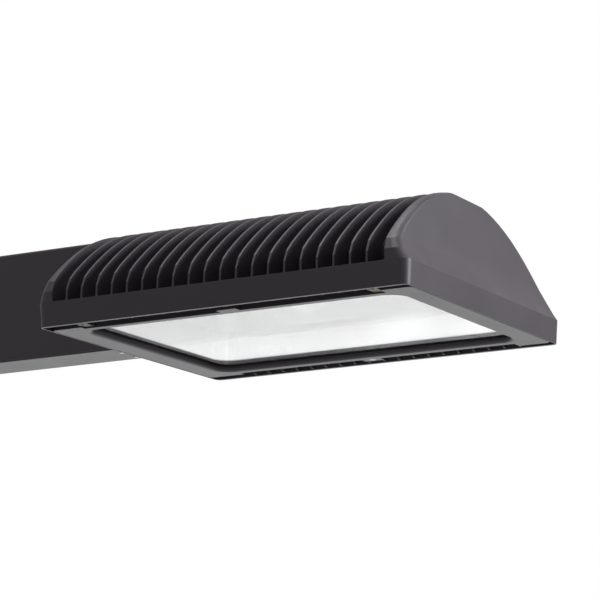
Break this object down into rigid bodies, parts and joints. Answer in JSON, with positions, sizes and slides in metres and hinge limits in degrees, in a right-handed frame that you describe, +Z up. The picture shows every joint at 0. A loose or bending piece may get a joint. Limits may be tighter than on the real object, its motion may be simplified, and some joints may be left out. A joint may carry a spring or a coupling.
{
  "type": "shoebox area light",
  "caption": "Outdoor area light with an arched finned housing, a short rectangular pole arm and a hinged glass lens door on its underside.",
  "frame": {"origin": "centre of the two pole bolts, on the face of the arm that meets the pole", "axes": "+X from the pole along the arm to the nose of the housing, +Z up, +Y across to the latch side of the lens door"},
  "size_m": [0.9075, 0.525, 0.177],
  "materials": {
    "bronze_coat": "dark bronze powder coat, satin",
    "silicone": "pale grey silicone, matt",
    "lens_glass": "flat clear tempered glass",
    "spring_steel": "plain spring steel",
    "zinc_steel": "zinc-plated steel",
    "yellow_zinc": "olive chromate on zinc casting",
    "black_rubber": "black rubber, matt",
    "reflector": "metallised, slightly diffuse",
    "bare_aluminium": "mill finish",
    "white_board": "white solder mask",
    "phosphor": "yellow phosphor under silicone",
    "ivory_plastic": "moulded nylon",
    "black_plastic": "moulded flame-retardant plastic",
    "lead_insulation": "wire insulation"
  },
  "bodies": {
    "housing": {"housing": "bronze_coat", "hinge_blocks": "yellow_zinc", "hinge_pins": "zinc_steel", "hinge_block_screws": "zinc_steel", "arm": "bronze_coat", "arm_cover": "bronze_coat", "arm_cover_screws": "zinc_steel", "pole_gasket": "black_rubber", "arm_gasket": "black_rubber", "arm_washers": "zinc_steel", "arm_bolts": "zinc_steel", "wire_grommet": "black_rubber", "reflector_tray": "reflector", "reflector_peak": "reflector", "reflector_screws": "zinc_steel", "led_plate": "bare_aluminium", "plate_screws": "zinc_steel", "led_boards": "white_board", "led_emitters": "phosphor", "board_screws": "zinc_steel", "terminal_block": "ivory_plastic", "surge_protector": "black_plastic", "driver": "bare_aluminium", "gear_screws": "zinc_steel", "supply_leads": "lead_insulation"},
    "lens_door": {"door_frame": "bronze_coat", "lens_gasket": "black_rubber", "lens_glass": "lens_glass", "door_gasket": "silicone", "lens_clips": "spring_steel", "clip_screws": "zinc_steel"},
    "latch_screw": {"latch_screw": "zinc_steel", "latch_ring": "spring_steel"}
  },
  "joints": [
    {"name": "door_hinge", "type": "hinge", "parent": "housing", "child": "lens_door", "pos_m": [0.605, -0.225, -0.087], "axis": [-1, 0, 0], "range_deg": [0, 90]},
    {"name": "latch_turn", "type": "hinge", "parent": "lens_door", "child": "latch_screw", "pos_m": [0.605, 0.225, -0.093], "axis": [0, 0, 1], "continuous": true}
  ]
}
